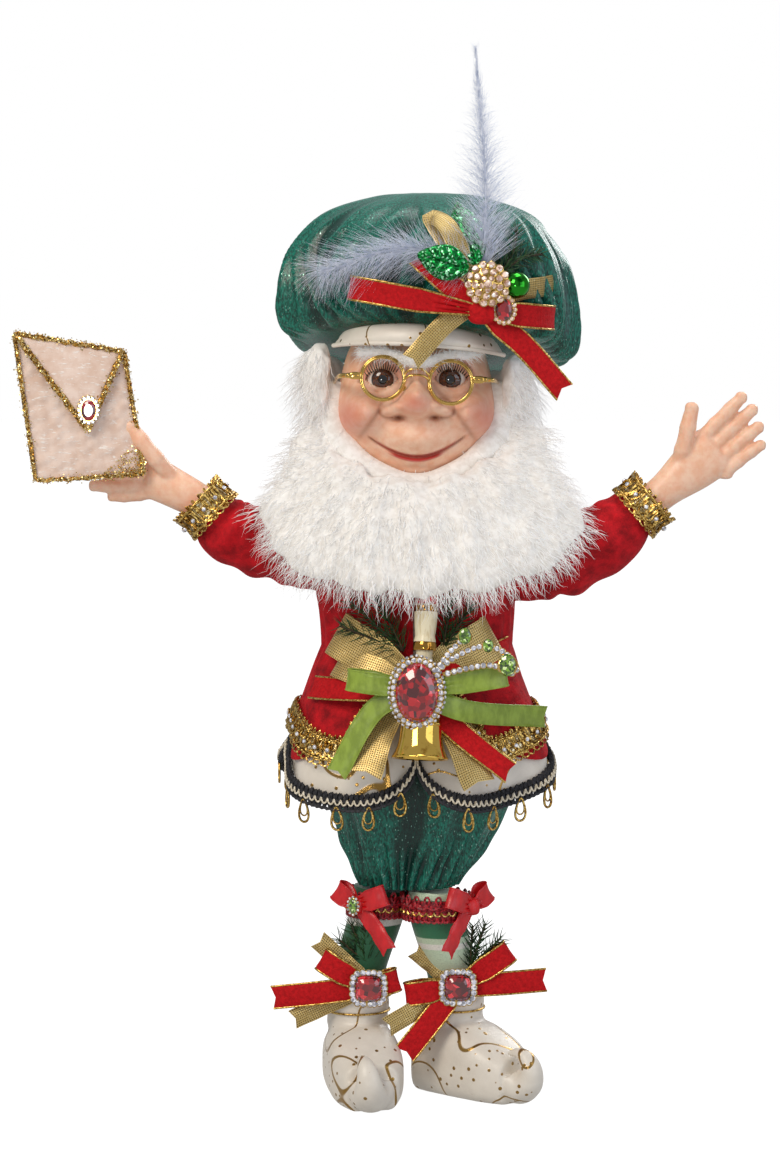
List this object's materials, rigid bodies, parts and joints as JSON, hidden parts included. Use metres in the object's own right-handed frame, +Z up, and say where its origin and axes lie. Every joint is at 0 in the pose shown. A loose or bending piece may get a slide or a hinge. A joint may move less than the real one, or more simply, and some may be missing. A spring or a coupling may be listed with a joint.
{
  "type": "elf figurine",
  "caption": "Standing Christmas elf doll with a gathered cap, full white beard, velvet coat, bell at the waist, curled-toe boots and a held envelope.",
  "frame": {"origin": "under the middle of the whole figure's bounding box, on the surface that the boots stand on", "axes": "+Z up, the figure faces -Y, and its left hand is at +X"},
  "size_m": [0.2969, 0.1174, 0.4191],
  "materials": {
    "painted_resin": "satin",
    "eye_glass": "gloss",
    "gold_wire": "polished",
    "white_mohair": "long white fibres",
    "green_brocade": "metallic fleck",
    "cream_satin": "satin with gold print",
    "red_velvet": "short pile",
    "red_satin": "satin",
    "green_satin": "satin",
    "gold_mesh": "open metallic weave",
    "green_glitter": "glitter",
    "pine_needles": "matte",
    "white_feather": "downy barbs",
    "rhinestones": "faceted",
    "red_gem": "faceted",
    "green_bauble": "mirror gloss",
    "gold_fabric": "glitter",
    "gold_lace": "metallic thread",
    "black_braid": "woven",
    "stuffed_muslin": "matte",
    "card": "mottled handmade paper",
    "cream_wood": "painted",
    "brass": "polished",
    "green_stocking": "knit",
    "red_gimp": "braided"
  },
  "bodies": {
    "root": {"head": "painted_resin", "hand_right": "painted_resin", "hand_left": "painted_resin", "eye_right": "eye_glass", "eye_left": "eye_glass", "spectacles": "gold_wire", "eyebrows": "white_mohair", "hair": "white_mohair", "beard": "white_mohair", "hat_crown": "green_brocade", "hat_brim": "cream_satin", "hat_bow": "red_velvet", "hat_mesh_ribbon": "gold_mesh", "hat_brooch": "rhinestones", "hat_bauble": "green_bauble", "hat_jewel": "red_gem", "hat_leaf_upper": "green_glitter", "hat_leaf_lower": "green_glitter", "hat_pine": "pine_needles", "hat_feather": "white_feather", "torso": "stuffed_muslin", "coat": "red_velvet", "sleeve_right": "red_velvet", "sleeve_left": "red_velvet", "cuff_right": "gold_lace", "cuff_left": "gold_lace", "collar": "gold_fabric", "coat_lace": "gold_lace", "underskirt": "cream_satin", "hem_braid": "black_braid", "chest_bow_mesh": "gold_mesh", "chest_bow_red": "red_velvet", "chest_bow_green": "green_satin", "chest_gem": "red_gem", "chest_jewel_setting": "rhinestones", "chest_swirl": "rhinestones", "chest_pine_right": "pine_needles", "chest_pine_left": "pine_needles", "bell_cup": "brass", "bell_handle": "cream_wood", "bell_cap": "brass", "envelope": "card", "envelope_jewel": "red_gem", "trousers": "green_brocade", "stocking_right": "green_stocking", "stocking_left": "green_stocking", "stocking_trim_right": "red_gimp", "stocking_trim_left": "red_gimp", "stocking_bow_right": "red_satin", "stocking_bow_left": "red_satin", "boot_right": "cream_satin", "boot_left": "cream_satin", "boot_bow_right": "red_velvet", "boot_bow_left": "red_velvet", "boot_buckle_right": "red_gem", "boot_buckle_left": "red_gem", "boot_pine_right": "pine_needles", "boot_pine_left": "pine_needles"}
  },
  "joints": []
}
